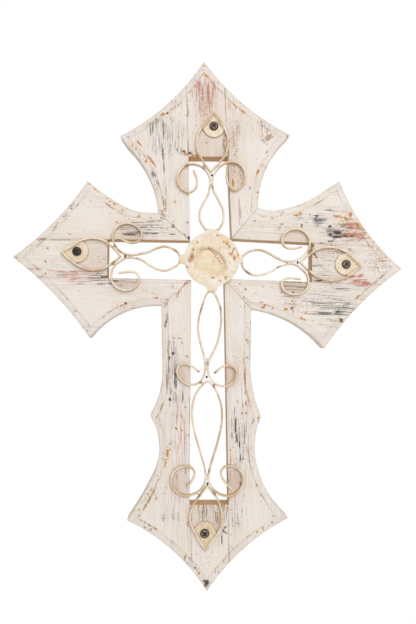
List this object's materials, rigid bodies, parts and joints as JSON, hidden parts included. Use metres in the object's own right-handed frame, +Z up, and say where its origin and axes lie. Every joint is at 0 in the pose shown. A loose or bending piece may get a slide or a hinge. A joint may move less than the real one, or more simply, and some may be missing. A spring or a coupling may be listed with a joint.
{
  "type": "wall cross",
  "caption": "Whitewashed wooden wall cross with flared pointed arms, an open cross-shaped middle, scrolled strap iron and a small round centre disc",
  "frame": {"origin": "on the flat back of the top end plank, 140 mm above the middle of the crossing and on the line between the top and bottom points, where the cross hangs against the wall", "axes": "+Z up along the upright, +Y out of the back toward the wall, +X to the right seen from the front"},
  "size_m": [0.3574, 0.0257, 0.4849],
  "materials": {
    "painted_wood": "distressed off-white paint over darker wood",
    "painted_iron": "worn cream paint on strap iron",
    "ivory_disc": "yellowed ivory paint with rust-brown spots",
    "dark_steel": "dark tarnished screws"
  },
  "bodies": {
    "root": {"plank_top_left": "painted_wood", "plank_top_right": "painted_wood", "plank_right_upper": "painted_wood", "plank_right_lower": "painted_wood", "plank_bottom_right": "painted_wood", "plank_bottom_left": "painted_wood", "plank_left_lower": "painted_wood", "plank_left_upper": "painted_wood", "end_top": "painted_wood", "end_right": "painted_wood", "end_bottom": "painted_wood", "end_left": "painted_wood", "disc": "ivory_disc", "scroll_top": "painted_iron", "scroll_left": "painted_iron", "scroll_right": "painted_iron", "scroll_upper": "painted_iron", "scroll_lower": "painted_iron", "arch_top": "painted_iron", "arch_left": "painted_iron", "arch_right": "painted_iron", "arch_bottom": "painted_iron", "tab_top": "ivory_disc", "tab_left": "ivory_disc", "tab_right": "ivory_disc", "tab_bottom": "ivory_disc", "screw_top": "dark_steel", "screw_left": "dark_steel", "screw_right": "dark_steel", "screw_bottom": "dark_steel"}
  },
  "joints": []
}
